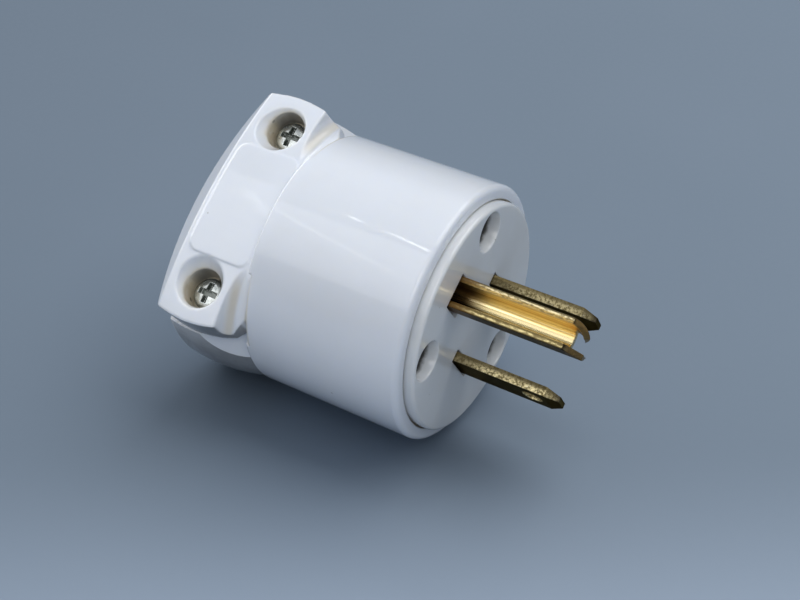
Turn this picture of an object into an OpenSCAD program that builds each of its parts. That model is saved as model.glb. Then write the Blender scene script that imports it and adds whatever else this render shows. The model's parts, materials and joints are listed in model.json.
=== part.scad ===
// Rewirable three-prong grounding plug, lying on its side as it comes to rest on a table.
// The plug's axis is X, the prongs point along +X and the origin is the centre of the mating face.
// Every piece is drawn upright, with the ground prong on the +Z side, and laid() rolls it to the
// rest pose, in which the shell and one lower corner of the cord clamp's jaw both touch the table.

/* [Shell] */
// Outside diameter of the shell
shell_d = 39.4; // [38.6:0.1:42]
// Length of the shell from its rim to its rear edge
shell_len = 25.8; // [24:0.1:32]
// Wall of the shell around the face insert
mouth_wall = 1.95; // [1.6:0.05:2.1]
// Wall of the shell around the wiring space
shell_wall = 2.6; // [2.3:0.1:2.8]
// Thickness of the shell's rear wall
rear_wall = 2.6; // [2:0.1:3.6]
// Rounding of the shell's rim
rim_round = 0.9; // [0.6:0.1:1.2]
// Rounding of the shell's rear edge
shell_round = 0.5; // [0.3:0.1:0.8]
// Diameter of the bosses that take the assembly screws
boss_d = 7.6; // [7.2:0.1:8.2]

/* [Face insert] */
// How far the mating face stands in front of the shell's rim
face_proud = 1.5; // [1:0.1:2.2]
// Thickness of the insert
insert_t = 6; // [5.4:0.1:8]
// Gap between the insert and the shell
insert_gap = 0.25; // [0.15:0.05:0.4]
// Rounding of the mating face's edge
face_round = 0.5; // [0.2:0.05:0.7]
// Clearance around the prongs where they pass through plastic
slot_gap = 0.25; // [0.15:0.05:0.35]

/* [Blades] */
// Distance between the two flat blades, centre to centre
blade_pitch = 12.7; // [12.5:0.1:13]
// How far the blades' centre line lies from the axis, away from the ground prong
blade_drop = 2.8; // [2:0.1:3.6]
// Length of the blades in front of the mating face
blade_len = 16.4; // [15.9:0.1:18.2]
// Width of the blades
blade_w = 6.35; // [6.1:0.05:6.6]
// Thickness of the blades
blade_t = 1.5; // [1.4:0.05:1.65]
// Length of the chamfer at the blades' tips
tip_len = 2; // [1.5:0.1:2.4]
// Width of the chamfer at the blades' tips
tip_w = 1.6; // [1:0.1:2.2]
// Thinning of each side of the blades at their tips
tip_thin = 0.35; // [0.1:0.05:0.5]
// Diameter of the hole near the blades' tips
blade_hole_d = 3.2; // [2.6:0.1:4]
// Distance of that hole from the mating face
blade_hole_x = 12; // [11.6:0.1:12.2]

/* [Ground prong] */
// Distance from the blades' centre line to the ground prong's centre
ground_offset = 11.9; // [11.7:0.1:12.1]
// Length of the ground prong in front of the mating face
ground_len = 19.8; // [19:0.1:22]
// Outside width of the ground prong's channel
ground_w = 4.75; // [4.5:0.05:5]
// Outside height of the ground prong's channel
ground_h = 4.1; // [3.8:0.1:4.8]
// Sheet thickness of the ground prong
ground_t = 0.9; // [0.7:0.05:1]
// Outer bend radius of the channel
ground_bend = 2.1; // [1.4:0.1:2.2]
// How far the channel's floor ends before the tips of its cheeks
floor_back = 2.4; // [2:0.1:3.4]
// Length of the slope at the cheeks' tips
nose_len = 2.6; // [1.8:0.1:3]
// Drop of that slope from the cheeks' upper edges
nose_drop = 2.2; // [1.8:0.1:2.8]
// Rounding of the cheeks' lower front corners
nose_round = 0.8; // [0.4:0.1:1]

/* [Terminals] */
// Length along the axis of the shoulders that stop a prong from pulling out
shoulder_len = 2; // [1.6:0.1:2.4]
// How far a shoulder stands out on each side of its prong
shoulder_out = 1.5; // [1:0.1:1.9]
// Width of the terminal tabs behind the retainer
tab_w = 7; // [6.4:0.1:7.4]
// Length of the terminal tabs behind the retainer
tab_len = 8; // [7.8:0.1:9]
// Thread diameter of the terminal screws
term_d = 3.5; // [3:0.1:3.8]
// Head diameter of the terminal screws
term_head_d = 6.6; // [6:0.1:7]
// Head height of the terminal screws
term_head_h = 2.1; // [1.6:0.1:2.4]
// How far the terminal screws reach past the tabs that they are driven into
term_past = 1.2; // [0.8:0.1:1.6]
// Length of the wire clamps along the axis
wire_clamp_len = 7.4; // [6.8:0.1:7.6]
// Width of the wire clamps
wire_clamp_w = 8.4; // [8:0.1:8.8]
// Thickness of the wire clamps
wire_clamp_t = 1.8; // [1.5:0.1:2]
// Diameter of the two wire grooves in a wire clamp
wire_groove_d = 2; // [1.6:0.1:2.2]

/* [Blade retainer] */
// Thickness of the retainer's plate
retainer_t = 2.5; // [2:0.1:3.2]
// Gap between the retainer and the shell
retainer_gap = 0.4; // [0.3:0.05:0.6]
// How far the barriers reach behind the terminal tabs
barrier_past = 0.6; // [0.2:0.1:1.2]
// Thickness of the barriers between the terminals
barrier_t = 1.4; // [1.2:0.1:1.6]

/* [Assembly screws] */
// Radius of the circle on which the three screws stand
screw_circle_r = 13.8; // [13.6:0.05:14]
// Angle of the two upper screws above the horizontal
screw_angle = 42; // [38:0.5:45]
// Thread diameter of the assembly screws
asm_d = 3; // [2.6:0.1:3.4]
// Head diameter of the assembly screws
asm_head_d = 5.5; // [5:0.1:5.7]
// Head height of the assembly screws
asm_head_h = 1.9; // [1.5:0.1:2.1]
// Length of the assembly screws under their heads
asm_len = 15; // [12:0.1:17]
// Diameter of the recesses in the mating face for the screw heads
recess_d = 6; // [5.9:0.1:6.4]
// Depth of those recesses
recess_depth = 4.4; // [3.4:0.1:4.5]

/* [Cord clamp] */
// Diameter of the cord passage
cord_d = 10.4; // [8:0.1:11.4]
// Length of the clamp behind the shell, at its middle
clamp_len = 16.3; // [15.8:0.1:18]
// Radius of the clamp's rear edge, seen from above
rear_r = 60; // [52:1:75]
// Angle of the bevel along the clamp's rear edge
bevel_angle = 42; // [36:1:55]
// Distance of the bevel's upper edge in front of the rear edge, at its middle
bevel_len = 3.4; // [2.9:0.1:3.6]
// Height of the parting line above the axis
part_h = 8.4; // [7.8:0.1:8.8]
// Gap between the saddle and the lower jaw
part_gap = 0.35; // [0.2:0.05:0.5]
// Clearance between the saddle and the shell
saddle_gap = 0.15; // [0.1:0.05:0.3]
// Wall of the hollow jaw and saddle
clamp_wall = 2.2; // [1.8:0.1:2.4]
// Number of ribs that grip the cord
rib_count = 4; // [2:1:5]
// Thickness of the ribs
rib_t = 1.5; // [1.2:0.1:1.8]
// How far the ribs reach down the cord's sides
rib_grip = 2.6; // [1:0.1:3]

/* [Saddle] */
// Half width of the saddle at its corners
clamp_half_w = 18.15; // [17.8:0.05:18.6]
// How far the saddle's ends bow outwards
end_bow = 0.75; // [0.4:0.05:1]
// Distance of the ears' front corners behind the shell
ear_set_back = 3; // [2.6:0.1:4]
// Height of the saddle's crown above the axis
crown_h = 15.9; // [15.4:0.1:16.6]
// Radius of the saddle's crown across the clamp
crown_r = 70; // [60:1:90]
// Radius of the wings in front of the ears, which carry on the shell's round outside
wing_r = 26.8; // [26.4:0.1:27.2]
// Depth of the centre of that radius under the axis
wing_drop = 10; // [9.6:0.1:10.2]
// Distance of the wings' inner ends from the middle
wing_y = 9.6; // [9.2:0.1:10]
// Distance from the middle at which the wings' front edges begin to fall back
wing_turn_y = 15; // [14:0.1:16]
// Distance of the wings' outer front corners from the middle
wing_end_y = 17.5; // [17.1:0.1:17.7]
// Distance of those corners behind the shell
wing_set_back = 1.3; // [0.6:0.1:1.6]
// How far the wings reach into notches in the shell's rear edge
notch_len = 0.7; // [0.5:0.1:1]
// Height of the rounded ridge along each wing
wing_ridge = 0.3; // [0.15:0.05:0.45]
// Radius of the cove between the wings and the ears
cove_r = 1.5; // [1.2:0.1:1.8]
// How far the raised panel stands out of the saddle
panel_out = 0.2; // [0.15:0.05:0.4]
// Length of the raised panel across the saddle
panel_w = 18; // [16:0.1:18.4]
// Margin between the raised panel and the bevel
panel_rear_gap = 0.8; // [0.4:0.1:1.2]
// Margin between the raised panel and the shell
panel_front_gap = 1.6; // [1:0.1:2]
// Corner radius of the raised panel
panel_round = 1.6; // [1:0.1:2.2]

/* [Lower jaw] */
// Depth of the jaw's crown under the axis
jaw_h = 14.8; // [14.4:0.1:15.2]
// Radius of the jaw's crown across the clamp
jaw_r = 70; // [64:1:80]
// How far the jaw's round ends lie inside the shell's outside, at the shell
jaw_front_in = 0.5; // [0.3:0.1:0.8]
// How far they stand outside it at the jaw's rear corners
jaw_rear_out = 0.6; // [0.3:0.1:0.9]
// Length over which the jaw's round ends swell
swell_len = 13.7; // [13:0.1:14.4]
// How far they swell between those two radii
swell = 0.9; // [0.7:0.05:1.1]
// Distance from the middle of the facets on the jaw's upper front corners, at the shell
facet_y = 16.2; // [16:0.1:16.6]
// Angle at which those facets turn outwards from the shell, seen from above
facet_turn = 20; // [17:1:24]
// Angle at which they lean outwards from the upright
facet_lean = 32; // [28:1:36]
// Depth of the hollows on both sides of the cord under the axis
hollow_depth = 8; // [6:0.1:8.6]

/* [Clamp screws] */
// Distance between the two clamp screws
clamp_pitch = 26.8; // [26.4:0.1:27]
// Distance of the clamp screws behind the shell
clamp_screw_back = 7.9; // [7.6:0.1:8.2]
// Thread diameter of the clamp screws
clamp_d = 3; // [2.6:0.1:3.4]
// Head diameter of the clamp screws
clamp_head_d = 4.9; // [4.6:0.1:5.4]
// Head height of the clamp screws
clamp_head_h = 1.8; // [1.5:0.1:2]
// Length of the clamp screws under their heads
clamp_screw_len = 14; // [12:0.1:15]
// Thickness of the saddle under the screw heads
clamp_floor = 3.2; // [2.9:0.1:3.5]
// How far the saddle's screw sleeves reach under the parting line
sleeve_drop = 2.2; // [1.8:0.1:2.6]
// Outside diameter of those sleeves and of the posts under them
sleeve_d = 5.8; // [5.4:0.1:6.2]
// Diameter of the counterbores in the saddle
counterbore_d = 6; // [5.7:0.1:6.3]
// Diameter of the dishes around the counterbores, at the saddle's surface
dish_d = 7.8; // [7.2:0.1:8.2]
// Depth of the dishes
dish_depth = 1.5; // [1.2:0.1:2]

/* [Screws] */
// Height of the round crown of a screw's head
head_crown = 0.7; // [0.5:0.1:1.3]
// Diameter of a screw's flat end
end_d = 1.8; // [1.4:0.1:2.2]
// Length of the taper at a screw's end
end_len = 0.8; // [0.4:0.1:1.2]
// Width of a cross recess's arms
cross_w = 0.9; // [0.7:0.05:1.1]
// Length of a cross recess's arms, tip to tip
cross_len = 3.2; // [2.6:0.1:3.4]
// Depth of a cross recess
cross_depth = 1.2; // [0.8:0.1:1.4]
// Clearance of a screw's thread in the hole it is driven into
thread_gap = 0.05; // [0.03:0.01:0.1]
// Clearance of a screw's shank in the holes it passes through
shank_gap = 0.25; // [0.15:0.05:0.35]

/* [Hidden] */
$fn = 96;
// Overlap of joined solids and overrun of cuts
over = 0.5;
// Steps of the drawn arcs, in degrees
arc_step = 15;
shell_r = shell_d / 2;
front_x = -face_proud;
rear_x = front_x - shell_len;
mouth_r = shell_r - mouth_wall;
cavity_r = shell_r - shell_wall;
cavity_x = rear_x + rear_wall;
insert_r = mouth_r - insert_gap;
seat_x = -insert_t;
shoulder_x = seat_x + shoulder_len;
retainer_r = cavity_r - retainer_gap;
retainer_x = seat_x - retainer_t;
tab_x = retainer_x - tab_len;
term_x = retainer_x - tab_len / 2;
barrier_x = tab_x - barrier_past;
blade_y = blade_pitch / 2;
blade_z = -blade_drop;
ground_z = blade_z + ground_offset;
ground_floor_z = ground_z - ground_h / 2;
ground_top_z = ground_z + ground_h / 2;
shoulder_w = blade_w + 2 * shoulder_out;
ground_shoulder_w = ground_w + 2 * shoulder_out;
barrier_z = (ground_floor_z + blade_z + wire_clamp_w / 2) / 2;
face_screws = [for (a = [screw_angle, 180 - screw_angle, 270]) screw_circle_r * [cos(a), sin(a)]];
cord_r = cord_d / 2;
trough_half_w = cord_r + saddle_gap;
clamp_x = rear_x - clamp_len;
bevel_x = clamp_x + bevel_len;
ear_rear_x = clamp_x + rear_r - sqrt(pow(rear_r, 2) - pow(clamp_half_w, 2));
ear_front_x = rear_x - ear_set_back;
saddle_x = rear_x - saddle_gap;
saddle_z = part_h + part_gap / 2;
jaw_z = part_h - part_gap / 2;
sleeve_z = saddle_z - sleeve_drop;
post_z = jaw_z - sleeve_drop;
clamp_seat_z = sleeve_z + clamp_floor;
clamp_screw_x = rear_x - clamp_screw_back;
clamp_screw_y = clamp_pitch / 2;
pocket_x0 = clamp_screw_x - sleeve_d / 2 - part_gap;
pocket_x1 = clamp_screw_x + sleeve_d / 2 + part_gap;
pocket_y0 = trough_half_w + clamp_wall;
pocket_y1 = clamp_screw_y + sleeve_d / 2 + part_gap;
wing_x = rear_x + notch_len - saddle_gap;
// Radius that lies outside every piece
reach = 2 * shell_r;
jaw_front_r = shell_r - jaw_front_in;
jaw_rear_r = shell_r + jaw_rear_out;
// Both ends of the swelling of the jaw's ends, as [station, radius]
swell_front = [rear_x, jaw_front_r];
swell_rear = [rear_x - swell_len, jaw_rear_r];
// Largest radius of the jaw's ends, and depth of the corners between them and the crown
jaw_max_r = bow_centre(swell_front, swell_rear, swell)[1] + bow_r(swell_front, swell_rear, swell);
crown_axis_z = jaw_r - jaw_h;
corner_z = (pow(jaw_r, 2) - pow(jaw_max_r, 2) - pow(crown_axis_z, 2)) / (2 * crown_axis_z);
rest_roll = acos(corner_z / jaw_max_r) - acos(shell_r / jaw_max_r);

// Points of an arc about c from angle a0 to a1
function arc(c, r, a0, a1) =
    let (n = ceil(abs(a1 - a0) / arc_step))
    [for (i = [0:n]) let (a = a0 + (a1 - a0) * i / n) c + r * [cos(a), sin(a)]];

// Radius of the arc from p to q that bows out by s
function bow_r(p, q, s) = (pow(norm(q - p) / 2, 2) + pow(s, 2)) / (2 * s);

// Centre of the arc from p to q that bows out by s, to the right of the way from p to q
function bow_centre(p, q, s) =
    (p + q) / 2 - [q[1] - p[1], p[0] - q[0]] / norm(q - p) * (bow_r(p, q, s) - s);

// Points of that arc
function bow(p, q, s, n = 12) =
    let (c = bow_centre(p, q, s), r = bow_r(p, q, s), half = asin(norm(q - p) / 2 / r))
    let (middle = (p + q) / 2 - c, a = atan2(middle[1], middle[0]))
    [for (i = [0:n]) c + r * [cos(a - half + 2 * half * i / n), sin(a - half + 2 * half * i / n)]];

// Outline completed by the mirror image of its points across the axis of the first coordinate
function both_sides(half) = concat(half, [for (i = [len(half) - 1:-1:0]) [half[i][0], -half[i][1]]]);

// Height of the saddle's crown at the distance y from the middle
function crown_z(y) = crown_h - crown_r + sqrt(pow(crown_r, 2) - pow(y, 2));

// Rolls a piece from its upright drawing to the rest pose
module laid() {
    rotate([rest_roll, 0, 0])
        children();
}

// Cylinder along X between two stations
module along_x(x0, x1, r) {
    translate([x0, 0, 0])
        rotate([0, 90, 0])
            cylinder(h = x1 - x0, r = r, $fn = r > shell_r ? 4 * $fn : $fn);
}

// Solid of revolution about X from a profile of [radius, station] points
module turned(profile) {
    rotate([0, 90, 0])
        rotate_extrude()
            polygon(profile);
}

// Prism along X between two stations, from an outline of [y, z] points
module prism_x(x0, x1, outline) {
    translate([x0, 0, 0])
        rotate([90, 0, 90])
            linear_extrude(x1 - x0)
                polygon(outline);
}

// Prism across the plug, from an outline of [x, z] points about the plane y = 0
module prism_y(w, outline) {
    rotate([90, 0, 0])
        linear_extrude(w, center = true)
            polygon(outline);
}

// Box between two corners
module box(low, high) {
    translate(low)
        cube(high - low);
}

// Pan-head screw along Z, with the underside of its head at the origin
module pan_screw(d, len, head_d, head_h) {
    shank = [[0, -len], [end_d / 2, -len], [d / 2, end_len - len], [d / 2, 0], [head_d / 2, 0]];
    dome = [for (p = arc([0, 0], 1, 0, 90)) [p[0] * head_d / 2, head_h - head_crown + p[1] * head_crown]];
    difference() {
        rotate_extrude()
            polygon(concat(shank, dome));
        for (a = [0, 90])
            rotate([0, 0, a])
                translate([-cross_len / 2, -cross_w / 2, head_h - cross_depth])
                    cube([cross_len, cross_w, cross_depth + over]);
    }
}

// Outside of the shell's cup
module cup() {
    turned(concat(
        [[0, rear_x]],
        arc([shell_r - shell_round, rear_x + shell_round], shell_round, -90, 0),
        arc([shell_r - rim_round, front_x - rim_round], rim_round, 0, 90),
        [[0, front_x]]));
}

// Crowned bar along X with a bevelled rear end, its top at the height h
module crowned_bar(front, h, r) {
    bevel_drop = bevel_len * tan(bevel_angle);
    translate([0, 0, h - r])
        rotate([0, 90, 0])
            rotate_extrude($fn = 4 * $fn)
                polygon([[0, clamp_x], [r - bevel_drop, clamp_x], [r, bevel_x], [r, front], [0, front]]);
}

// Upright cylinder that rounds the clamp's rear edge
module rear_round() {
    translate([clamp_x + rear_r, 0, -reach])
        cylinder(h = 2 * reach, r = rear_r, $fn = 4 * $fn);
}

// Body of the saddle: a crowned block with bowed ends, a cove in front of each ear, and wings
module saddle_body() {
    ear_front = [ear_front_x, clamp_half_w];
    ear_rear = [ear_rear_x, clamp_half_w];
    wing = [
        [saddle_x, wing_y], [wing_x, wing_y + notch_len], [wing_x, wing_turn_y],
        [rear_x - wing_set_back, wing_end_y]];
    plan = both_sides(concat(wing, bow(ear_front, ear_rear, end_bow), [[clamp_x, clamp_half_w]]));
    valley_x = ear_front_x + cove_r;
    cove = arc([wing_r + cove_r, valley_x], cove_r, 270, 180);
    ridge = bow([wing_r, valley_x], [wing_r, wing_x], wing_ridge);
    intersection() {
        translate([0, 0, saddle_z])
            linear_extrude(crown_h)
                polygon(plan);
        crowned_bar(wing_x + over, crown_h, crown_r);
        rear_round();
        translate([0, 0, -wing_drop])
            turned(concat(
                [[0, clamp_x - over], [reach, clamp_x - over], [reach, ear_front_x]],
                cove,
                [for (i = [1:len(ridge) - 1]) ridge[i]],
                [[wing_r, wing_x + over], [0, wing_x + over]]), $fn = 4 * $fn);
    }
}

// Notches in the shell's rear edge that take the saddle's wings
module wing_notches() {
    for (s = [0, 1])
        mirror([0, s, 0])
            box([rear_x - over, wing_y, jaw_z], [rear_x + notch_len, reach, reach]);
}

// Blocks that cut the sloping facets on the jaw's upper front corners
module jaw_facets() {
    for (s = [0, 1])
        mirror([0, s, 0])
            translate([rear_x, facet_y, jaw_z])
                rotate([0, 0, -facet_turn])
                    rotate([facet_lean, 0, 0])
                        box([-reach, 0, -reach], [reach, reach, reach]);
}

// Outside of the lower jaw, part of the shell's moulding: round ends that swell, and a crown below
module jaw() {
    inner = rear_x + over;
    ends = [for (q = bow(swell_front, swell_rear, swell)) [q[1], q[0]]];
    difference() {
        intersection() {
            turned(concat(
                [[0, inner], [jaw_front_r, inner]],
                ends,
                [[jaw_rear_r, clamp_x - over], [0, clamp_x - over]]));
            mirror([0, 0, 1])
                crowned_bar(inner + over, jaw_h, jaw_r);
            rear_round();
            box([clamp_x - over, -reach, -reach], [inner + over, reach, jaw_z]);
        }
        jaw_facets();
    }
}

// Hollows of the lower jaw on both sides of the cord, open under the saddle
module jaw_pockets() {
    for (s = [0, 1])
        mirror([0, s, 0])
            box([pocket_x0, pocket_y0, -hollow_depth], [pocket_x1, pocket_y1, jaw_z + over]);
}

// Copies at the two clamp screws
module at_clamp_screws() {
    for (s = [-1, 1])
        translate([clamp_screw_x, s * clamp_screw_y, 0])
            children();
}

// Copies at the assembly screws, with Z turned to the plug's axis
module at_face_screws(x) {
    for (q = face_screws)
        translate([x, q[0], q[1]])
            rotate([0, 90, 0])
                children();
}

// Way of the cord through the rear wall and along the jaw, open towards the saddle
module cord_way() {
    along_x(clamp_x - over, cavity_x + over, cord_r);
    box([clamp_x - over, -trough_half_w, 0], [rear_x, trough_half_w, jaw_z + over]);
}

module shell() {
    color("white")
        laid()
            difference() {
                union() {
                    difference() {
                        union() {
                            cup();
                            jaw();
                        }
                        along_x(seat_x, front_x + over, mouth_r);
                        along_x(cavity_x, seat_x + over, cavity_r);
                        jaw_pockets();
                        wing_notches();
                    }
                    at_face_screws(cavity_x - over)
                        cylinder(h = retainer_x - cavity_x + over, d = boss_d);
                    at_clamp_screws()
                        translate([0, 0, -hollow_depth - over])
                            cylinder(h = post_z + hollow_depth + over, d = sleeve_d);
                }
                cord_way();
                at_face_screws(seat_x - asm_len)
                    cylinder(h = asm_len, d = asm_d + 2 * thread_gap);
                at_clamp_screws()
                    translate([0, 0, clamp_seat_z - clamp_screw_len - over])
                        cylinder(h = clamp_screw_len, d = clamp_d + 2 * thread_gap);
            }
}

// Opening for the ground prong's channel, open between its cheeks too
module channel_slot(x0, x1) {
    box([x0, -ground_w / 2 - slot_gap, ground_floor_z - slot_gap],
        [x1, ground_w / 2 + slot_gap, ground_top_z + slot_gap]);
}

// Slots of width w for both blades
module blade_slots(x0, x1, w) {
    for (s = [-1, 1])
        box([x0, s * blade_y - blade_t / 2 - slot_gap, blade_z - w / 2 - slot_gap],
            [x1, s * blade_y + blade_t / 2 + slot_gap, blade_z + w / 2 + slot_gap]);
}

// Slot of width w for the flat floor of the ground prong
module floor_slot(x0, x1, w) {
    box([x0, -w / 2 - slot_gap, ground_floor_z - slot_gap],
        [x1, w / 2 + slot_gap, ground_floor_z + ground_t + slot_gap]);
}

module face_insert() {
    color("whitesmoke")
        laid()
            difference() {
                turned(concat(
                    [[0, seat_x], [insert_r, seat_x]],
                    arc([insert_r - face_round, -face_round], face_round, 0, 90),
                    [[0, 0]]));
                blade_slots(seat_x - over, over, blade_w);
                blade_slots(seat_x - over, shoulder_x, shoulder_w);
                channel_slot(seat_x - over, over);
                floor_slot(seat_x - over, shoulder_x, ground_shoulder_w);
                at_face_screws(-recess_depth)
                    cylinder(h = recess_depth + over, d = recess_d);
                at_face_screws(seat_x - over)
                    cylinder(h = insert_t, d = asm_d + 2 * shank_gap);
            }
}

module blade_retainer() {
    low = blade_z - wire_clamp_w / 2 - barrier_t;
    color("gainsboro")
        laid()
            difference() {
                union() {
                    along_x(retainer_x, seat_x, retainer_r);
                    box([barrier_x, -barrier_t / 2, low], [seat_x - over, barrier_t / 2, barrier_z]);
                    box([barrier_x, -screw_circle_r, barrier_z - barrier_t / 2],
                        [seat_x - over, screw_circle_r, barrier_z + barrier_t / 2]);
                }
                blade_slots(retainer_x - over, seat_x + over, tab_w);
                floor_slot(retainer_x - over, seat_x + over, tab_w);
                at_face_screws(retainer_x - over)
                    cylinder(h = retainer_t + 2 * over, d = asm_d + 2 * shank_gap);
            }
}

// Hole across a blade at the station x
module blade_bore(x, d) {
    translate([x, 0, 0])
        rotate([90, 0, 0])
            cylinder(h = blade_t + 2 * over, d = d, center = true);
}

// Flat blade with chamfered tip, shoulder and terminal tab, about the plane y = 0
module blade() {
    half = blade_w / 2;
    side = [
        [blade_len, half - tip_w], [blade_len - tip_len, half], [shoulder_x, half],
        [shoulder_x, shoulder_w / 2], [seat_x, shoulder_w / 2], [seat_x, tab_w / 2], [tab_x, tab_w / 2]];
    edge = [[tab_x, blade_t / 2], [blade_len - tip_len, blade_t / 2], [blade_len, blade_t / 2 - tip_thin]];
    difference() {
        intersection() {
            prism_y(blade_t + over, both_sides(side));
            linear_extrude(shoulder_w + over, center = true)
                polygon(both_sides(edge));
        }
        blade_bore(blade_hole_x, blade_hole_d);
        blade_bore(term_x, term_d + 2 * thread_gap);
    }
}

// Places a blade's piece on one side of the plug, with its outer face away from the middle
module on_side(s) {
    mirror([0, s < 0 ? 1 : 0, 0])
        translate([0, blade_y, blade_z])
            children();
}

module hot_blade() {
    color("goldenrod")
        laid()
            on_side(1)
                blade();
}

module neutral_blade() {
    color("goldenrod")
        laid()
            on_side(-1)
                blade();
}

// Cross-section of the ground prong's folded channel
function channel_section() =
    let (half = ground_w / 2, c = [half - ground_bend, ground_floor_z + ground_bend])
    let (flip = [[-1, 0], [0, 1]], in_bend = ground_bend - ground_t)
    concat(
        [[half, ground_top_z]],
        arc(c, ground_bend, 0, -90),
        arc(flip * c, ground_bend, -90, -180),
        [[-half, ground_top_z], [ground_t - half, ground_top_z]],
        arc(flip * c, in_bend, -180, -90),
        arc(c, in_bend, -90, 0),
        [[half - ground_t, ground_top_z]]);

// Folded channel with sloping cheek tips, shoulders and a flat terminal tab
module ground_prong() {
    inside = ground_w / 2 - ground_t;
    cheek = concat(
        [[seat_x, ground_top_z], [seat_x, ground_floor_z]],
        arc([ground_len - nose_round, ground_floor_z + nose_round], nose_round, -90, 0),
        [[ground_len, ground_top_z - nose_drop], [ground_len - nose_len, ground_top_z]]);
    color("gold")
        laid()
            difference() {
                union() {
                    intersection() {
                        prism_x(seat_x, ground_len + over, channel_section());
                        prism_y(ground_w + over, cheek);
                    }
                    box([seat_x, -ground_shoulder_w / 2, ground_floor_z],
                        [shoulder_x, ground_shoulder_w / 2, ground_floor_z + ground_t]);
                    box([tab_x, -tab_w / 2, ground_floor_z],
                        [seat_x, tab_w / 2, ground_floor_z + ground_t]);
                }
                box([ground_len - floor_back, -inside, ground_floor_z - over],
                    [ground_len + over, inside, ground_top_z + over]);
                translate([term_x, 0, ground_floor_z - over])
                    cylinder(h = ground_t + 2 * over, d = term_d + 2 * thread_gap);
            }
}

// Wire clamp on the plane z = 0, with two wire grooves along X under it
module wire_clamp() {
    groove_y = (term_d / 2 + shank_gap + wire_clamp_w / 2) / 2;
    half = [wire_clamp_len, wire_clamp_w] / 2;
    difference() {
        box([-half[0], -half[1], 0], [half[0], half[1], wire_clamp_t]);
        for (s = [-1, 1])
            translate([0, s * groove_y, 0])
                along_x(-half[0] - over, half[0] + over, wire_groove_d / 2);
        translate([0, 0, -over])
            cylinder(h = wire_clamp_t + 2 * over, d = term_d + 2 * shank_gap);
    }
}

// Terminal screw through a wire clamp on the plane z = 0, driven into a tab of thickness t
module terminal_screw(t) {
    translate([0, 0, wire_clamp_t])
        pan_screw(term_d, wire_clamp_t + t + term_past, term_head_d, term_head_h);
}

// Places a terminal's piece on a blade's outer face, with Z turned outwards
module on_blade(s) {
    on_side(s)
        translate([term_x, blade_t / 2, 0])
            rotate([-90, 0, 0])
                children();
}

// Places a terminal's piece on the ground prong's tab
module on_ground() {
    translate([term_x, 0, ground_floor_z + ground_t])
        children();
}

module hot_wire_clamp() {
    color("goldenrod")
        laid()
            on_blade(1)
                wire_clamp();
}

module neutral_wire_clamp() {
    color("silver")
        laid()
            on_blade(-1)
                wire_clamp();
}

module ground_wire_clamp() {
    color("goldenrod")
        laid()
            on_ground()
                wire_clamp();
}

module hot_terminal_screw() {
    color("goldenrod")
        laid()
            on_blade(1)
                terminal_screw(blade_t);
}

module neutral_terminal_screw() {
    color("silver")
        laid()
            on_blade(-1)
                terminal_screw(blade_t);
}

module ground_terminal_screw() {
    color("seagreen")
        laid()
            on_ground()
                terminal_screw(ground_t);
}

module assembly_screws() {
    color("silver")
        laid()
            at_face_screws(-recess_depth)
                pan_screw(asm_d, asm_len, asm_head_d, asm_head_h);
}

// Raised panel on the saddle between the two screws
module panel() {
    x0 = bevel_x + panel_rear_gap;
    x1 = rear_x - panel_front_gap;
    in_x = [x0 + panel_round, x1 - panel_round];
    in_y = panel_w / 2 - panel_round;
    outline = concat(
        arc([in_x[1], in_y], panel_round, 0, 90),
        arc([in_x[0], in_y], panel_round, 90, 180),
        arc([in_x[0], -in_y], panel_round, 180, 270),
        arc([in_x[1], -in_y], panel_round, 270, 360));
    intersection() {
        translate([0, 0, crown_z(panel_w / 2) - over])
            linear_extrude(crown_h)
                polygon(outline);
        translate([0, 0, crown_h - crown_r])
            along_x(x0 - over, x1 + over, crown_r + panel_out);
    }
}

// Ribs across the saddle's hollow that press the cord into the jaw
module cord_ribs() {
    half = cord_r - saddle_gap;
    first = bevel_x + clamp_wall;
    step = (rear_x - clamp_wall - rib_t - first) / (rib_count - 1);
    difference() {
        for (i = [0:rib_count - 1])
            translate([first + i * step, 0, 0])
                box([0, -half, cord_r - rib_grip], [rib_t, half, crown_h - clamp_wall + over]);
        along_x(clamp_x, rear_x, cord_r);
    }
}

// Counterbored and dished holes for the clamp screws
module clamp_screw_holes() {
    surface_z = crown_z(clamp_screw_y);
    flare = (dish_d - counterbore_d) / dish_depth;
    at_clamp_screws() {
        cylinder(h = crown_h, d = clamp_d + 2 * shank_gap);
        translate([0, 0, clamp_seat_z])
            cylinder(h = crown_h, d = counterbore_d);
        translate([0, 0, surface_z - dish_depth])
            cylinder(h = 2 * dish_depth, d1 = counterbore_d, d2 = counterbore_d + 2 * flare * dish_depth);
    }
}

module cord_clamp() {
    color("white")
        laid()
            difference() {
                union() {
                    difference() {
                        saddle_body();
                        box([bevel_x + clamp_wall, -trough_half_w, 0],
                            [saddle_x - clamp_wall, trough_half_w, crown_h - clamp_wall]);
                    }
                    panel();
                    cord_ribs();
                    at_clamp_screws()
                        translate([0, 0, sleeve_z])
                            cylinder(h = sleeve_drop + over, d = sleeve_d);
                }
                clamp_screw_holes();
            }
}

module clamp_screws() {
    color("silver")
        laid()
            at_clamp_screws()
                translate([0, 0, clamp_seat_z])
                    pan_screw(clamp_d, clamp_screw_len, clamp_head_d, clamp_head_h);
}

shell();
face_insert();
blade_retainer();
hot_blade();
neutral_blade();
ground_prong();
hot_wire_clamp();
neutral_wire_clamp();
ground_wire_clamp();
hot_terminal_screw();
neutral_terminal_screw();
ground_terminal_screw();
assembly_screws();
cord_clamp();
clamp_screws();
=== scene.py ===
"""Looks of a rewirable grounding plug lying on a pale table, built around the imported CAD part."""
import json
import math

import bpy
import bmesh
from mathutils import Matrix, Vector


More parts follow.
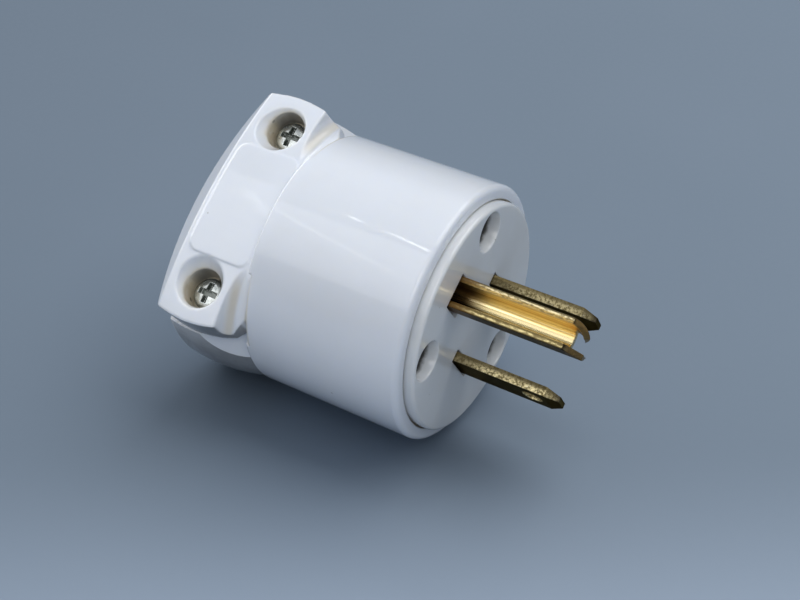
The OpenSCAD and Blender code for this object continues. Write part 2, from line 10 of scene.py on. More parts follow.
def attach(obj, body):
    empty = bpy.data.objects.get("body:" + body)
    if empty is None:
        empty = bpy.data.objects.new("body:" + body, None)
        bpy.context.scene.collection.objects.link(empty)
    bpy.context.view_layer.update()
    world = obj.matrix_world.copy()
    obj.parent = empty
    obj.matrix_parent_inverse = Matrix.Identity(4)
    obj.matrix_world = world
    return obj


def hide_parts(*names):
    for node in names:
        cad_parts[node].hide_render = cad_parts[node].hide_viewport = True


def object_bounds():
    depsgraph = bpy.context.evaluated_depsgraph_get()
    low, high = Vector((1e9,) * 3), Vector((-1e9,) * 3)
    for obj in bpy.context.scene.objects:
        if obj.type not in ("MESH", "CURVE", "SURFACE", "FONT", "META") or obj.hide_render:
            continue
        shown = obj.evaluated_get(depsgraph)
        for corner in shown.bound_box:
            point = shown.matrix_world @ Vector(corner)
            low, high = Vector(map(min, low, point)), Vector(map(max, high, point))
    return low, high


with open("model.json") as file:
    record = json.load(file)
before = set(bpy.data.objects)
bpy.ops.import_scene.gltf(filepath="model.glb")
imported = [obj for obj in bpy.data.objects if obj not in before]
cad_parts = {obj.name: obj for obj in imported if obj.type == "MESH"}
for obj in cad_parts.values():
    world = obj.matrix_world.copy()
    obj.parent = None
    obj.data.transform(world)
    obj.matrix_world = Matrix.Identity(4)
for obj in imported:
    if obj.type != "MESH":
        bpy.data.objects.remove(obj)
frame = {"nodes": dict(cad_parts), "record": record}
cad_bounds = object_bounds()
nodes = frame["nodes"]

MM = 0.001
MM_PER_M = 1000
SAME_PLACE = 1e-6  # vertices closer than this, in metres, are one

# The part is drawn upright and packed rolled about X: the ground prong's mount gives the roll.
ground = next(m for m in frame["record"]["mounts"] if m["name"] == "ground_contact")["pos_m"]
ROLL = math.atan2(-ground[1], ground[2])
UP = Matrix.Rotation(ROLL, 4, "X")
ACROSS = UP @ Vector((0, 1, 0))
UPRIGHT = UP @ Vector((0, 0, 1))

# Places in the upright frame, in mm: x along the axis with 0 on the face, y across, z up.
HALF_PITCH = 6.35  # a blade's centre from the middle
INSERT_R = 17.5
CHANNEL_Z = 10.4  # a line inside the ground prong's channel
LIP_Z = 10.6  # the prong's cut edges lie above it
SHELL_REAR_X = -27.3
NOTCH_X = -26.75  # the notches in the shell's rear edge that take the wings
COVE_X = -29.4  # the deepest line of the wings' coves
CLAMP_PART_Z = 8.4  # the plane between the saddle and the jaw
SCREW_X, SCREW_Y = -35.2, 13.4  # the clamp screws' axes, one on each side
HEAD_TOP_Z = 11.375  # the tops of their heads

# Colours that several materials share, linear.
WHITE, WHITE_SHADE, TAN = (0.765, 0.805, 0.88), (0.73, 0.765, 0.82), (0.5, 0.46, 0.38)
SPECK = (0.2, 0.18, 0.15)
# SEAM_BROWN is painted shade for the lower side of the seam.
SEAM_BROWN = (0.2, 0.14, 0.08)


def at(x, y, z):
    """A point in the upright frame, in mm, as a point in the row frame, in metres."""
    return UP @ (Vector((x, y, z)) * MM)


def add(name, data):
    """A new object in the scene."""
    obj = bpy.data.objects.new(name, data)
    bpy.context.scene.collection.objects.link(obj)
    return obj


def dress(obj, material):
    obj.data.materials.clear()
    obj.data.materials.append(material)


class Nodes:
    """A small builder for the nodes of one tree."""

    def __init__(self, tree):
        self.tree = tree

    def put(self, target, value):
        """Links a socket into the target, or sets the target's own value."""
        if isinstance(value, bpy.types.NodeSocket):
            self.tree.links.new(value, target)
        elif isinstance(value, (tuple, list)) and len(value) == 3 and target.type == "RGBA":
            target.default_value = (*value, 1.0)
        else:
            target.default_value = value

    def node(self, kind, props=None, **inputs):
        """A new node. Inputs go by name, or by number as i0, i1 and so on."""
        made = self.tree.nodes.new("ShaderNode" + kind)
        for key, value in (props or {}).items():
            setattr(made, key, value)
        for key, value in inputs.items():
            numbered = key[0] == "i" and key[1:].isdigit()
            self.put(made.inputs[int(key[1:]) if numbered else key], value)
        return made

    def math(self, op, a, b=0.0):
        return self.node("Math", {"operation": op}, i0=a, i1=b).outputs[0]

    def plus(self, a, b):
        return self.math("ADD", a, b)

    def times(self, *factors):
        product = factors[0]
        for factor in factors[1:]:
            product = self.math("MULTIPLY", product, factor)
        return product

    def off(self, a, b):
        """The distance between two numbers."""
        return self.math("ABSOLUTE", self.math("SUBTRACT", a, b))

    def reach(self, a, b):
        """The length of the step (a, b)."""
        return self.math("SQRT", self.plus(self.times(a, a), self.times(b, b)))

    def vec(self, op, a, b=(0, 0, 0)):
        made = self.node("VectorMath", {"operation": op}, i0=a, i1=b)
        return made.outputs["Value" if op == "DOT_PRODUCT" else "Vector"]

    def scaled(self, vector, factor):
        return self.node("VectorMath", {"operation": "SCALE"}, i0=vector, Scale=factor).outputs["Vector"]

    def split(self, vector):
        return self.node("SeparateXYZ", None, i0=vector).outputs

    def ramp(self, value, low, high, out_low=0.0, out_high=1.0, smooth=True):
        """The value taken from low..high to out_low..out_high, and held there beyond."""
        made = self.node(
            "MapRange", {"interpolation_type": "SMOOTHSTEP" if smooth else "LINEAR", "clamp": True},
            Value=value)
        limits = {"From Min": low, "From Max": high, "To Min": out_low, "To Max": out_high}
        for key, item in limits.items():
            self.put(made.inputs[key], item)
        return made.outputs["Result"]

    def mix(self, factor, a, b):
        """A mix of two colours."""
        return self.node("Mix", {"data_type": "RGBA"}, i0=factor, i6=a, i7=b).outputs[2]

    def blend(self, factor, a, b):
        """A mix of two numbers."""
        return self.node("Mix", {"data_type": "FLOAT"}, i0=factor, i2=a, i3=b).outputs[0]

    def tint(self, tone, color, *shares):
        """The tone with a colour laid over it, as much as the product of the shares."""
        return self.mix(self.times(*shares), tone, color)


class Shader(Nodes):
    """The nodes of one material with a Principled shader."""

    def __init__(self, name):
        self.mat = bpy.data.materials.new(name)
        self.mat.use_nodes = True
        super().__init__(self.mat.node_tree)
        self.bsdf = self.tree.nodes["Principled BSDF"]

    def place(self):
        """Object coordinates, which are the row frame in metres."""
        return self.node("TexCoord").outputs["Object"]

    def upright(self):
        """Object coordinates turned back to the upright frame, in mm."""
        turned = self.node("Mapping", {"vector_type": "POINT"}, Vector=self.place(), Rotation=(-ROLL, 0, 0))
        return self.scaled(turned.outputs[0], MM_PER_M)

    def normal(self):
        return self.node("NewGeometry").outputs["Normal"]

    def noise(self, vector, scale, detail=3.0, rough=0.55, stretch=None):
        if stretch:
            vector = self.vec("MULTIPLY", vector, stretch)
        made = self.node("TexNoise", None, Vector=vector, Scale=scale, Detail=detail, Roughness=rough)
        return made.outputs[0]

    def spots(self, vector, scale, size):
        """Sparse small round spots: 1 inside, 0 outside."""
        sparse = 0.72
        made = self.node("TexVoronoi", {"feature": "F1"}, Vector=vector, Scale=scale, Randomness=1.0)
        picked = self.math("GREATER_THAN", self.split(made.outputs["Color"])[0], sparse)
        return self.times(picked, self.ramp(made.outputs["Distance"], size, size * 0.5))

    def hollow(self, depth):
        """1 in the open, 0 deep in a gap."""
        made = self.node("AmbientOcclusion", {"samples": 8, "only_local": False}, Distance=depth)
        return made.outputs["AO"]

    def rounded(self, radius):
        """The normal, rounded over the edges."""
        return self.node("Bevel", {"samples": 6}, Radius=radius).outputs[0]

    def worn(self, rounded):
        """1 on the edges and 0 off them, from the rounded normal."""
        return self.ramp(self.vec("DOT_PRODUCT", rounded, self.normal()), 0.995, 0.9)

    def bump(self, height, strength, distance, normal=None):
        made = self.node("Bump", None, Strength=strength, Distance=distance, Height=height)
        if normal is not None:
            self.put(made.inputs["Normal"], normal)
        return made.outputs[0]

    def set(self, **inputs):
        for key, value in inputs.items():
            self.put(self.bsdf.inputs[key.replace("_", " ")], value)
        return self.mat


def from_screw(s, x, wide):
    """The distance from the axis of the clamp screw on the same side."""
    return s.reach(s.math("SUBTRACT", wide, SCREW_Y), s.math("SUBTRACT", x, SCREW_X))


def seam_low(s, y, z):
    """1 on the lower side of the seam, where brown painted shade goes, 0 on the other."""
    return s.ramp(s.plus(s.times(y, 0.75), s.times(z, 0.65)), -9.0, -16.0)


def plastic(name, color, shade, rough, hollow_shade, soil_and_shade=None):
    """Moulded plastic: slight mottling, painted shade in the hollows, dulled edges, specks and a fine
    surface.
    """
    s = Shader(name)
    p = s.place()
    rounded = s.rounded(0.3 * MM)
    worn = s.worn(rounded)
    mottle = s.noise(p, 90, 4)
    fine = s.noise(p, 2600, 2)
    tone = s.mix(s.ramp(mottle, 0.35, 0.75, 0, 0.5), color, shade)
    patchy = s.ramp(s.noise(p, 700, 4), 0.3, 0.7, 0.6, 1.0)
    # Painted shade: hollows found by ambient occlusion are tinted towards the shade colour.
    gap = s.ramp(s.hollow(1.0 * MM), 0.6, 0.1)
    tone = s.tint(tone, hollow_shade, gap, patchy, 0.3)
    if soil_and_shade:
        tone = soil_and_shade(s, tone)
    tone = s.tint(tone, SPECK, s.spots(p, 240, 0.045), 0.5)
    tone = s.tint(tone, shade, worn, 0.2)
    dull = s.plus(s.ramp(mottle, 0.3, 0.7, rough, rough + 0.08), s.times(worn, 0.1))
    height = s.plus(s.times(fine, 0.3), s.noise(p, 420, 3))
    return s.set(
        Base_Color=tone, Roughness=dull, Normal=s.bump(height, 0.05, 0.04 * MM, rounded),
        Coat_Normal=s.bump(s.noise(p, 500, 3), 0.03, 0.03 * MM, rounded),
        IOR=1.46, Coat_Weight=1.0, Coat_Roughness=0.03, Coat_IOR=1.5,
        Subsurface_Weight=0.6, Subsurface_Radius=(1.0, 0.92, 0.8), Subsurface_Scale=1.5 * MM)


def clamp_dirt_and_shade(s, tone):
    """Marks on the clamp: a warm, slightly lighter tint in the screws' dishes, brown painted shade deeper
    in their bores with crumbs of dirt, tan painted shade in the wings' coves and notches, painted shade
    under the jaw."""
    dish_tan, bore_brown, crumb = (0.9, 0.88, 0.82), (0.66, 0.57, 0.39), (0.08, 0.06, 0.04)
    cove_tan, underside_shade = (0.66, 0.6, 0.47), (0.2, 0.205, 0.21)
    x, y, z = s.split(s.upright())[:3]
    wide = s.math("ABSOLUTE", y)
    out = from_screw(s, x, wide)
    above = s.math("GREATER_THAN", z, CLAMP_PART_Z)
    ragged = s.plus(out, s.times(s.noise(s.place(), 900, 3), 0.6))
    dish = s.times(s.ramp(out, 4.0, 3.0), above)
    low = s.times(s.ramp(z, 14.4, 12.0), above)
    # Painted shade: brown in the bores, stronger deeper down.
    bore = s.times(s.ramp(ragged, 3.6, 3.25), low)
    tone = s.tint(tone, dish_tan, dish, 0.5)
    tone = s.tint(tone, bore_brown, bore, 0.8)
    tone = s.tint(tone, crumb, s.spots(s.place(), 800, 0.36), bore, 0.85)
    # Painted shade: tan in the wings' coves and in the notches beside them.
    cove = s.ramp(s.off(x, COVE_X), 1.0, 0.15)
    notch = s.ramp(s.off(x, NOTCH_X), 0.5, 0.15)
    wing = s.times(s.ramp(wide, 9.0, 12.5), above, s.ramp(wide, 18.6, 17.8))
    tone = s.tint(tone, cove_tan, s.math("MAXIMUM", cove, notch), wing, 0.6)
    # Painted shade: faces of the jaw that look down are darkened.
    bottom = s.ramp(s.split(s.normal())[2], 0.0, -0.35)
    jaw = s.ramp(x, SHELL_REAR_X, SHELL_REAR_X - 0.3)
    patchy = s.ramp(s.noise(s.place(), 260, 4), 0.2, 0.7, 0.7, 0.9)
    return s.tint(tone, underside_shade, bottom, jaw, patchy)


def seam_and_hole_shade(s, tone):
    """Brown painted shade on the low side of the seam around the insert, and nearly black painted shade
    deep in the recesses for the screws.
    """
    pit = (0.03, 0.025, 0.02)
    x, y, z = s.split(s.upright())[:3]
    out = s.reach(y, z)
    seam = s.times(s.ramp(out, INSERT_R - 0.15, INSERT_R), s.ramp(x, -1.0, -1.5))
    # Painted shade: brown on the low side of the seam.
    tone = s.tint(tone, SEAM_BROWN, seam_low(s, y, z), 0.85, seam)
    # Painted shade: the recesses for the screws darken towards their depth.
    deep = s.ramp(s.plus(x, s.noise(s.place(), 900, 3)), -0.9, -1.7)
    return s.tint(tone, pit, deep, s.math("LESS_THAN", out, INSERT_R - 0.3), 0.95)


def blade_brass():
    """Flat brass blade: broad faces nearly black as painted shade, with rub marks; rough sheared edges with
    painted glints, painted shade at the root, on their far corners and over the far blade; and dark ends."""
    shaded_brass, shaded_brass_light, rub = (0.03, 0.026, 0.018), (0.08, 0.065, 0.04), (0.16, 0.125, 0.065)
    chip_dark, chip_bright, stain = (0.2, 0.16, 0.075), (0.92, 0.78, 0.44), (0.24, 0.18, 0.08)
    sparkle, root_dark = (0.95, 0.84, 0.6), (0.1, 0.075, 0.035)
    far_corner, far_blade = (0.13, 0.1, 0.045), (0.1, 0.078, 0.035)
    edge_gold, end_dark = (0.6, 0.47, 0.23), (0.05, 0.04, 0.028)
    s = Shader("blade_brass")
    p = s.place()
    x, y = s.split(s.upright())[:2]
    rounded = s.rounded(0.1 * MM)
    worn = s.worn(rounded)
    broad = s.math("ABSOLUTE", s.vec("DOT_PRODUCT", s.normal(), tuple(ACROSS)))
    broad = s.ramp(broad, 0.55, 0.85)
    streak = s.noise(p, 1.0, 4, 0.6, (140, 2600, 2600))
    chips = s.noise(p, 1.0, 5, 0.7, (2600, 2200, 2200))
    cloud = s.noise(p, 420, 4)
    # Painted shade: the broad faces are nearly black for the dark they reflect.
    dark = s.mix(s.ramp(cloud, 0.35, 0.7), shaded_brass, shaded_brass_light)
    dark = s.mix(s.ramp(streak, 0.5, 0.75, 0, 0.4), dark, rub)
    gold = s.mix(s.ramp(chips, 0.4, 0.6), chip_dark, chip_bright)
    gold = s.mix(s.ramp(cloud, 0.5, 0.75, 0, 0.4), gold, stain)
    # Painted glints: bright spots on the edges, more towards the tip.
    gold = s.tint(gold, sparkle, s.spots(p, 2300, 0.42), s.ramp(x, 5.0, 13.5, 0.2, 1.0), 0.8)
    # Painted shade at the root.
    gold = s.mix(s.ramp(x, 1.2, 6.0), s.mix(0.65, gold, root_dark), gold)
    across = s.math("SUBTRACT", y, s.times(s.math("SIGN", y), HALF_PITCH))
    across = s.plus(across, s.times(s.math("SUBTRACT", chips, 0.5), 1.2))
    # Painted shade on the far corner of each edge and over the far blade, so the near corner is brightest.
    gold = s.mix(s.ramp(across, -0.05, 0.45, 0, 0.75), gold, far_corner)
    gold = s.mix(s.ramp(y, -1.0, 1.0, 0, 0.45), gold, far_blade)
    tone = s.mix(broad, gold, dark)
    tone = s.tint(tone, edge_gold, worn, 0.35)
    end = s.ramp(s.plus(x, s.times(cloud, 0.7)), 15.6, 16.6)
    tone = s.tint(tone, end_dark, end, 0.8)
    rough = s.blend(broad, s.ramp(chips, 0.3, 0.7, 0.5, 0.32), s.ramp(cloud, 0.3, 0.7, 0.28, 0.42))
    height = s.blend(broad, chips, s.times(streak, 0.2))
    return s.set(
        Base_Color=tone, Metallic=1.0, Roughness=rough, Specular_Tint=(0.42, 0.37, 0.27),
        Normal=s.bump(height, 0.6, 0.06 * MM, rounded))


def ground_brass():
    """Folded brass channel: drawn inside, painted light on its far wall and painted shade on its near wall
    and outside, painted highlight lines and painted shade on its cut edges, painted shade at its root, and
    stained tips."""
    gold_dark, gold_light, gold_near = (0.6, 0.42, 0.14), (0.96, 0.82, 0.5), (0.5, 0.42, 0.22)
    gold_far, crumple_stain = (1.0, 0.84, 0.42), (0.66, 0.36, 0.07)
    shaded_brass, shaded_brass_light = (0.03, 0.025, 0.015), (0.09, 0.07, 0.035)
    near_cut, near_line = (0.15, 0.115, 0.045), (0.6, 0.5, 0.25)
    far_cut, far_line = (0.42, 0.29, 0.1), (0.75, 0.64, 0.38)
    chip_dark, lip_dark = (0.11, 0.08, 0.035), (0.05, 0.036, 0.016)
    root_shade_brown, tip_stain = (0.16, 0.085, 0.025), (0.17, 0.11, 0.045)
    s = Shader("ground_brass")
    p = s.place()
    x, y, z = s.split(s.upright())[:3]
    rounded = s.rounded(0.1 * MM)
    outward = s.vec("MULTIPLY", s.vec("SUBTRACT", p, tuple(at(0, 0, CHANNEL_Z))), (0, 1, 1))
    outside = s.ramp(s.vec("DOT_PRODUCT", s.vec("NORMALIZE", outward), s.normal()), -0.05, 0.25)
    top = s.ramp(s.vec("DOT_PRODUCT", s.normal(), tuple(UPRIGHT)), 0.75, 0.95)
    rim = s.times(top, s.math("GREATER_THAN", z, LIP_Z))
    bands = s.noise(p, 1.0, 3, 0.5, (18, 2300, 2300))
    fine = s.noise(p, 1.0, 3, 0.5, (60, 6500, 6500))
    chips = s.noise(p, 1.0, 4, 0.65, (1300, 3200, 3200))
    cloud = s.noise(p, 380, 4)
    drawn = s.plus(s.times(bands, 0.65), s.times(fine, 0.35))
    far = s.ramp(y, 0.5, 1.1)
    inner = s.mix(s.ramp(drawn, 0.38, 0.62), gold_dark, gold_light)
    inner = s.mix(s.ramp(cloud, 0.58, 0.8, 0, 0.3), inner, gold_dark)
    # Painted shade on the near inner wall.
    inner = s.mix(s.ramp(y, 0.6, 0.2, 0, 0.45), inner, gold_near)
    # Painted light on the far inner wall.
    inner = s.tint(inner, gold_far, far, s.ramp(drawn, 0.4, 0.6, 0.35, 0.85))
    crumpled = s.ramp(s.plus(x, s.times(cloud, 5.0)), 17.5, 20.0)
    inner = s.tint(inner, crumple_stain, crumpled, far, 0.55)
    # Painted shade: the outside is nearly black.
    outer = s.mix(s.ramp(cloud, 0.35, 0.7), shaded_brass, shaded_brass_light)
    tone = s.mix(outside, inner, outer)
    lip = s.plus(s.math("ABSOLUTE", y), s.times(chips, 0.2))
    # Painted highlight: a thin bright line along the inner side of each cut edge; the rest of the cut is
    # painted shade, darker on the near one.
    near_edge = s.mix(s.ramp(lip, 1.85, 2.05), near_cut, near_line)
    far_edge = s.mix(s.ramp(lip, 1.9, 2.1), far_cut, far_line)
    cut = s.mix(s.ramp(y, -0.5, 0.5), near_edge, far_edge)
    cut = s.mix(s.ramp(chips, 0.6, 0.4, 0, 0.8), cut, chip_dark)
    # Painted shade on the outer side of the cut edges.
    cut = s.mix(s.ramp(lip, 2.2, 2.32, 0, 0.9), cut, lip_dark)
    tone = s.mix(rim, tone, cut)
    # Painted shade at the root.
    root = s.ramp(s.plus(x, s.times(bands, 2.2)), 5.6, 1.2)
    tone = s.tint(tone, root_shade_brown, root, 0.9)
    tip = s.ramp(s.plus(x, s.times(cloud, 1.6)), 17.9, 18.7)
    tone = s.tint(tone, tip_stain, tip, 0.85)
    rough = s.blend(far, s.ramp(bands, 0.3, 0.7, 0.34, 0.24), s.ramp(bands, 0.3, 0.7, 0.48, 0.34))
    rough = s.blend(outside, rough, 0.4)
    height = s.plus(s.plus(bands, s.times(fine, 0.3)), s.times(chips, rim))
    return s.set(
        Base_Color=tone, Metallic=1.0, Roughness=rough, Normal=s.bump(height, 0.3, 0.05 * MM, rounded))


def metal(name, color, stain, rough):
    """Plated or bare metal with stains, brushed marks, painted shade in the hollows and bright edges."""
    s = Shader(name)
    p = s.place()
    rounded = s.rounded(0.08 * MM)
    cloud = s.noise(p, 900, 4)
    marks = s.noise(p, 1.0, 3, 0.6, (700, 3200, 3200))
    tone = s.mix(s.ramp(cloud, 0.4, 0.75, 0, 0.5), color, stain)
    # Painted shade in the hollows, found by ambient occlusion.
    tone = s.mix(s.ramp(s.hollow(1.2 * MM), 0.55, 0.1, 0, 0.8), tone, tuple(c * 0.35 for c in stain))
    tone = s.tint(tone, tuple(min(1.0, c * 1.25) for c in color), s.worn(rounded), 0.5)
    return s.set(
        Base_Color=tone, Metallic=1.0, Roughness=s.ramp(marks, 0.3, 0.7, rough, rough + 0.15),
        Normal=s.bump(marks, 0.15, 0.03 * MM, rounded))


def screw_steel():
    """Plated steel of the clamp screws: mottled top with painted glints on its edges, painted shade in the
    cross and on the outer ring of the head.
    """
    plate_dark, plate_bright, edge = (0.6, 0.63, 0.61), (0.8, 0.83, 0.82), (0.92, 0.94, 0.93)
    skirt, recess = (0.2, 0.21, 0.19), (0.07, 0.08, 0.07)
    s = Shader("clamp_steel")
    p = s.place()
    x, y, z = s.split(s.upright())[:3]
    out = from_screw(s, x, s.math("ABSOLUTE", y))
    rounded = s.rounded(0.12 * MM)
    cloud = s.noise(p, 1100, 4)
    tone = s.mix(s.ramp(cloud, 0.35, 0.7), plate_dark, plate_bright)
    # Painted shade on the outer ring of the head, which sits down in the bore.
    tone = s.mix(s.ramp(out, 1.8, 2.3, 0, 0.75), tone, skirt)
    # Painted shade in the cross of the head.
    below = s.ramp(z, HEAD_TOP_Z - 0.25, HEAD_TOP_Z - 0.5)
    tone = s.tint(tone, recess, below, s.ramp(out, 1.68, 1.6), 0.85)
    # Painted glints on the edges.
    tone = s.tint(tone, edge, s.worn(rounded), 0.7)
    return s.set(
        Base_Color=tone, Metallic=1.0, Roughness=s.ramp(cloud, 0.3, 0.7, 0.3, 0.2),
        Normal=s.bump(cloud, 0.12, 0.03 * MM, rounded))


def dust():
    """Packed dust in the seam, pale, with brown painted shade on the low side of the seam."""
    s = Shader("seam_dust")
    clot = s.noise(s.place(), 1500, 4)
    y, z = s.split(s.upright())[1:3]
    tone = s.mix(s.ramp(clot, 0.35, 0.65), (0.4, 0.36, 0.29), (0.62, 0.59, 0.52))
    # Painted shade: brown on the low side of the seam.
    tone = s.tint(tone, SEAM_BROWN, seam_low(s, y, z), 0.85)
    return s.set(Base_Color=tone, Roughness=0.9, Normal=s.bump(clot, 0.5, 0.05 * MM))


shell_plastic = plastic("shell_plastic", WHITE, WHITE_SHADE, 0.3, TAN, clamp_dirt_and_shade)
# The insert's plastic is painted a little greyer than the shell's white, as painted shade on its face.
insert_plastic = plastic(
    "insert_plastic", (0.72, 0.745, 0.77), (0.66, 0.68, 0.69), 0.32, (0.42, 0.38, 0.31), seam_and_hole_shade)
retainer_plastic = plastic(
    "retainer_plastic", (0.62, 0.63, 0.62), (0.55, 0.55, 0.53), 0.45, (0.32, 0.29, 0.24))
zinc = metal("screw_zinc", (0.68, 0.7, 0.68), (0.42, 0.42, 0.38), 0.2)
plated = metal("plated_metal", (0.66, 0.67, 0.68), (0.45, 0.44, 0.42), 0.25)
terminal = metal("terminal_brass", (0.72, 0.53, 0.24), (0.42, 0.3, 0.13), 0.3)
green = metal("green_zinc", (0.1, 0.34, 0.19), (0.05, 0.16, 0.09), 0.35)
blade = blade_brass()

FINISH = {
    "shell": shell_plastic, "cord_clamp": shell_plastic, "face_insert": insert_plastic,
    "blade_retainer": retainer_plastic, "hot_blade": blade, "neutral_blade": blade,
    "ground_prong": ground_brass(), "hot_wire_clamp": terminal, "ground_wire_clamp": terminal,
    "neutral_wire_clamp": plated, "hot_terminal_screw": terminal, "neutral_terminal_screw": plated,
    "ground_terminal_screw": green, "assembly_screws": zinc, "clamp_screws": screw_steel()}

for name, obj in nodes.items():
    dress(obj, FINISH[name])


def soften(name, voxel, rounds):
    """A copy of a CAD node with all its edges rounded, as moulded plastic has them; it stands for the node.
    The voxels are in mm, because the remesh modifier works on the copy while it is in mm."""
    mesh = nodes[name].data.copy()
    bm = bmesh.new()
    bm.from_mesh(mesh)
    bmesh.ops.remove_doubles(bm, verts=bm.verts, dist=SAME_PLACE)
    bmesh.ops.scale(bm, vec=(MM_PER_M, MM_PER_M, MM_PER_M), verts=bm.verts)
    bm.to_mesh(mesh)
    bm.free()
    piece = add(name + "_moulded", mesh)
    remesh = piece.modifiers.new("voxels", "REMESH")
    remesh.mode = "VOXEL"
    remesh.voxel_size = voxel
    relax = piece.modifiers.new("relax", "SMOOTH")
    relax.factor = 0.5
    relax.iterations = rounds
    evaluated = piece.evaluated_get(bpy.context.evaluated_depsgraph_get())
    applied = bpy.data.meshes.new_from_object(evaluated)
    piece.modifiers.clear()
    piece.data = applied
    applied.transform(Matrix.Scale(MM, 4))
    applied.shade_smooth()
    dress(piece, FINISH[name])
    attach(piece, "root")
    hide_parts(name)
    return piece


saddle = soften("cord_clamp", voxel=0.16, rounds=6)


def bent_prong(name, start, middle, length, degrees):
    """A copy of the ground prong with its far tongue bent inwards by use; it stands for the node.
    The bend runs from x = start over the length, and the line at y = middle keeps its length."""
    piece = add(name + "_used", nodes[name].data.copy())
    bm = bmesh.new()
    bm.from_mesh(piece.data)
    bmesh.ops.remove_doubles(bm, verts=bm.verts, dist=SAME_PLACE)
    cuts = 6
    for i in range(cuts):
        bmesh.ops.bisect_plane(
            bm, geom=bm.verts[:] + bm.edges[:] + bm.faces[:],
            plane_co=at(start + length * i / cuts, 0, 0), plane_no=(1, 0, 0))
    radius = length / math.radians(degrees)
    for vert in bm.verts:
        x, y, z = (UP.inverted() @ vert.co) / MM
        if x > start and y > 0:
            angle, out = (x - start) / radius, y - middle + radius
            vert.co = at(start + out * math.sin(angle), middle - radius + out * math.cos(angle), z)
    bm.to_mesh(piece.data)
    bm.free()
    dress(piece, FINISH[name])
    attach(piece, "root")
    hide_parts(name)
    return piece


prong = bent_prong("ground_prong", start=17.4, middle=1.925, length=2.4, degrees=66)


def dust_ring(name, x, inner, outer, thick):
    """A ring of packed dust in the seam around the insert, uneven in height."""
    steps = 360
    waves = ((0.07, 7, 1.3), (0.05, 31, 0), (0.03, 83, 0.4))  # height in mm, waves around, phase
    bm = bmesh.new()
    rows = []
    for i in range(steps):
        angle = 2 * math.pi * i / steps
        top = x
        for height, count, phase in waves:
            top += height * math.sin(count * angle + phase)
        corners = (
            (x - thick, inner), (x - thick, outer), (top - 0.03, outer),
            (top + 0.02, (inner + outer) / 2), (top - 0.03, inner))
        rows.append([bm.verts.new(at(c, r * math.cos(angle), r * math.sin(angle))) for c, r in corners])
    for i in range(steps):
        a, b = rows[i], rows[(i + 1) % steps]
        for j in range(len(a)):
            k = (j + 1) % len(a)
            bm.faces.new((a[j], a[k], b[k], b[j]))
    bmesh.ops.recalc_face_normals(bm, faces=bm.faces)
    mesh = bpy.data.meshes.new(name)
    bm.to_mesh(mesh)
    bm.free()
    piece = add(name, mesh)
    dress(piece, dust())
    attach(piece, "root")
    return piece


seam = dust_ring("seam_dust", x=-1.8, inner=17.46, outer=17.79, thick=0.3)

# Small bevels, in mm, on the pieces whose edges catch the light.
BEVELS = (
    (nodes["face_insert"], 0.12), (nodes["hot_blade"], 0.1), (nodes["neutral_blade"], 0.1), (prong, 0.1))
for piece, width in BEVELS:
    weld = piece.modifiers.new("weld", "WELD")
    weld.merge_threshold = SAME_PLACE
    bevel = piece.modifiers.new("edges", "BEVEL")
    bevel.width = width * MM
    bevel.segments = 2
    bevel.limit_method = "ANGLE"
    bevel.angle_limit = math.radians(35)
    bevel.use_clamp_overlap = False
    bevel.harden_normals = True

# Stage: a pale table, painted lighter towards the camera as a painted pool of light.
FLOOR_Z = cad_bounds[0].z
FLOOR_HALF = 3.0
TABLE, TABLE_CLOUD, TABLE_PAINTED_LIGHT = (0.285, 0.36, 0.455), (0.299, 0.374, 0.473), (0.54, 0.655, 0.82)
TOWARDS_CAMERA = (0.52, -0.85, 0)
mesh = bpy.data.meshes.new("floor")
corners = [(x * FLOOR_HALF, y * FLOOR_HALF, FLOOR_Z) for x, y in ((-1, -1), (1, -1), (1, 1), (-1, 1))]
mesh.from_pydata(corners, [], [(0, 1, 2, 3)])
floor = add("floor", mesh)
table = Shader("table")
grain = table.noise(table.place(), 900, 3)
cloud = table.noise(table.place(), 9, 3)
paint = table.mix(table.ramp(cloud, 0.3, 0.7), TABLE, TABLE_CLOUD)
# Painted light: the table lightens towards the camera.
near = table.vec("DOT_PRODUCT", table.place(), TOWARDS_CAMERA)
paint = table.mix(table.ramp(near, 0.005, 0.06), paint, TABLE_PAINTED_LIGHT)
table.set(
    Base_Color=paint, Roughness=table.ramp(grain, 0.3, 0.7, 0.5, 0.6), Specular_IOR_Level=0.2,
    Normal=table.bump(grain, 0.05, 0.1 * MM))
dress(floor, table.mat)


def lamp(name, start, end, width, radiance, only=None, aim=None):
    """A flat lamp along the line from start to end, facing down or at aim, for all or only one group."""
    start, end = Vector(start), Vector(end)
    light = bpy.data.lights.new(name, "AREA")
    light.shape = "RECTANGLE"
    light.size, light.size_y = (end - start).length, width
    light.energy = radiance * light.size * width * math.pi
    obj = add(name, light)
    obj.location = (start + end) / 2
    obj.rotation_euler = (0, 0, math.atan2(end.y - start.y, end.x - start.x))
    if aim:
        obj.rotation_euler = (Vector(aim) - obj.location).to_track_quat("-Z", "Y").to_euler()
    if only:
        obj.light_linking.receiver_collection = only


def group(name, pieces):
    """A collection of pieces that a lamp can light alone."""
    made = bpy.data.collections.new(name)
    for piece in pieces:
        made.objects.link(piece)
    return made


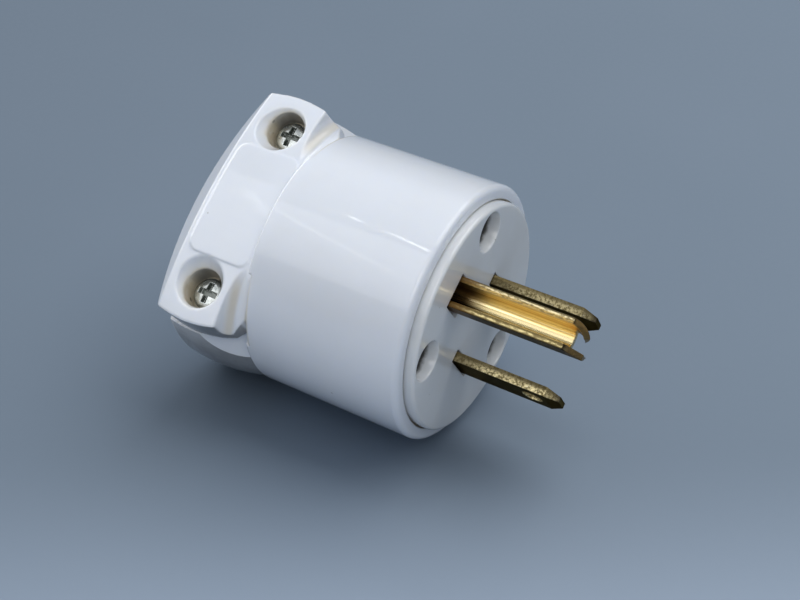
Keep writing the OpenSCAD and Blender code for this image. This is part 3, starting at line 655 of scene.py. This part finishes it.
# Light: a soft lamp overhead for the table and the plug, and lamps for the plug alone: a window and a fill
# on its near side, a card behind the clamp, two that the ground prong reflects, and a border and two thin
# tubes that the shell's plastic reflects. Lengths are in metres.
plug = group("plug", [*nodes.values(), saddle, seam, prong])
brass = group("brass", [prong])
PART = (0, 0, 0)
lamp("overhead", (-0.1, 0.35, 0.62), (0.6, 0.35, 0.62), 0.7, 1.75)
lamp("window", (-0.95, -0.615, 0.62), (-0.05, -0.615, 0.62), 0.97, 0.92, only=plug)
lamp("fill", (0.05, -0.58, 0.75), (0.8, -0.58, 0.75), 0.6, 1.95, only=plug, aim=PART)
lamp("card", (-0.8, -0.3, 0.3), (-0.8, 0.6, 0.3), 0.5, 2.2, only=plug, aim=PART)
lamp("glint_a", (-0.75, -0.5, 0.61), (-0.05, -0.5, 0.61), 0.5, 1.0, only=brass)
lamp("glint_b", (-0.75, 0.4, 0.61), (-0.05, 0.4, 0.61), 0.7, 3.0, only=brass)
lamp("border", (-0.4, -0.17, 0.6), (-0.31, -0.5, 0.6), 0.015, 1.2, only=plug)
lamp("tube_a", (-0.323, -0.037, 0.62), (-0.311, -0.05, 0.62), 0.008, 7.0, only=plug)
lamp("tube_b", (-0.292, -0.053, 0.62), (-0.26, -0.1, 0.62), 0.009, 7.0, only=plug)

# The room: a bright ceiling over dim walls, a little brighter at the far side.
ROOM_COLOR = (0.9, 0.95, 1.0)
WALL, CEILING = 0.1, 0.45
world = bpy.data.worlds.new("room")
bpy.context.scene.world = world
world.use_nodes = True
room = Nodes(world.node_tree)
back = room.tree.nodes["Background"]
heading = room.split(room.node("TexCoord").outputs["Generated"])
level = room.ramp(heading["Z"], 0.4, 0.62, WALL, CEILING)
slant = room.ramp(heading["Y"], -0.6, 0.5, 0.75, 1.15, smooth=False)
room.put(back.inputs["Color"], ROOM_COLOR)
room.put(back.inputs["Strength"], room.times(level, slant))

# Camera at the photograph's place, from the fit to the blades, the face and the seam, in the upright frame.
EYE = (71.96, -43.87, 185.95)
RIGHT = Vector((0.854, 0.4342, -0.2867))
DOWN = Vector((0.3291, -0.8775, -0.3487))
AHEAD = Vector((-0.403, 0.2035, -0.8923))
FOCAL_PX = 1401.66
WIDTH_PX = 800
SENSOR_MM = 36
camera = bpy.data.cameras.new("camera")
camera.sensor_fit = "HORIZONTAL"
camera.sensor_width = SENSOR_MM
camera.lens = SENSOR_MM * FOCAL_PX / WIDTH_PX
camera.clip_start = 0.005
eye = add("camera", camera)
turn = Matrix((RIGHT, -DOWN, -AHEAD)).transposed().to_quaternion().to_matrix().to_4x4()
eye.matrix_world = Matrix.Translation(at(*EYE)) @ UP @ turn
bpy.context.scene.camera = eye
bpy.context.scene.view_settings.view_transform = "Standard"
